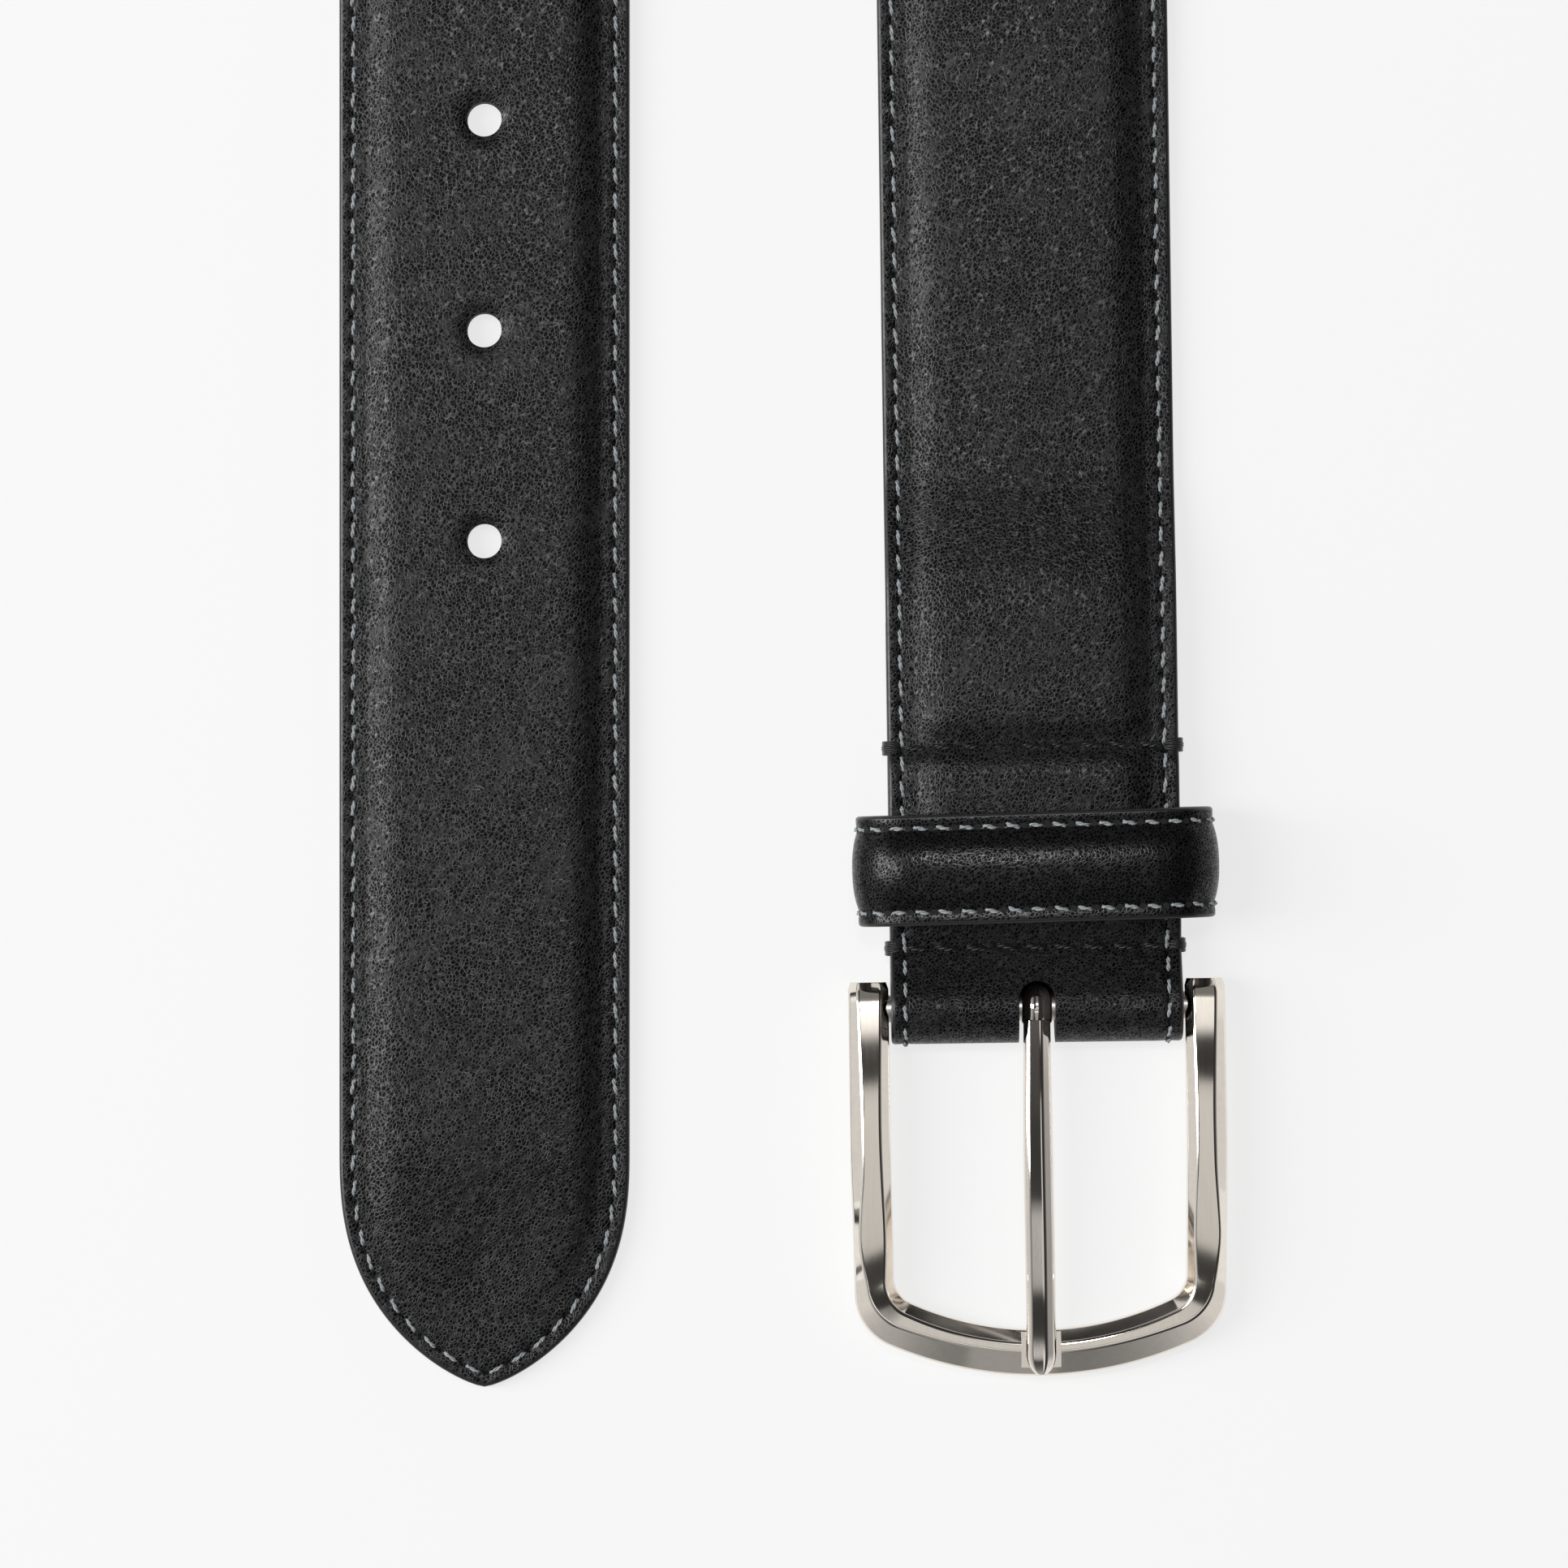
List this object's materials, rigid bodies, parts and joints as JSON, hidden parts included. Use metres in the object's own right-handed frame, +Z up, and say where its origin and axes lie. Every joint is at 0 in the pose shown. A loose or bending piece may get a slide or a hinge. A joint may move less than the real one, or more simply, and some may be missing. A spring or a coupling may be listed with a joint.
{
  "type": "leather dress belt",
  "caption": "Padded black calf dress belt with stitched edges, pointed tip, punched holes, keeper loop and a swinging satin metal frame buckle with a hinged prong, laid in a loop on its edge.",
  "frame": {"origin": "middle of the whole belt's box, on the surface it lies on", "axes": "+Y from the two ends to the turn of the strap, +Z up, +X from the tip to the buckle; the bar lies along X"},
  "size_m": [0.1068, 0.5489, 0.0351],
  "materials": {
    "grain_leather": "fine pebbled calf grain, semi-gloss",
    "lining_leather": "smooth split, matt",
    "filler_board": "bonded leather fibre",
    "seam_thread": "twisted polyester",
    "black_thread": "twisted polyester, heavy",
    "satin_nickel": "brushed faces with polished bevels",
    "polished_nickel": "polished",
    "bar_steel": "drawn wire",
    "staple_wire": "drawn wire"
  },
  "bodies": {
    "strap": {"tip_face": "grain_leather", "loop_face": "grain_leather", "fold_face": "grain_leather", "wrap_face": "grain_leather", "tail_face": "grain_leather", "strap_filler": "filler_board", "tip_lining": "lining_leather", "loop_lining": "lining_leather", "fold_lining": "lining_leather", "wrap_lining": "lining_leather", "tail_lining": "lining_leather", "needle_thread": "seam_thread", "bobbin_thread": "seam_thread", "near_cross_stitch": "black_thread", "far_cross_stitch": "black_thread"},
    "keeper": {"keeper_face": "grain_leather", "keeper_filler": "filler_board", "keeper_lining": "lining_leather", "keeper_near_stitch": "seam_thread", "keeper_far_stitch": "seam_thread", "keeper_staple": "staple_wire"},
    "buckle": {"buckle_frame": "satin_nickel", "buckle_bar": "bar_steel"},
    "prong": {"prong": "polished_nickel"}
  },
  "joints": [
    {"name": "buckle_swing", "type": "hinge", "parent": "strap", "child": "buckle", "pos_m": [0.0308, -0.2296, 0.0043], "axis": [-1, 0, 0], "range_deg": [-60, 40]},
    {"name": "prong_swing", "type": "hinge", "parent": "buckle", "child": "prong", "pos_m": [0.0308, -0.2296, 0.0043], "axis": [-1, 0, 0], "range_deg": [0, 55]},
    {"name": "keeper_slide", "type": "slide", "parent": "strap", "child": "keeper", "axis": [0, 1, 0], "range_m": [0, 0.005]}
  ]
}
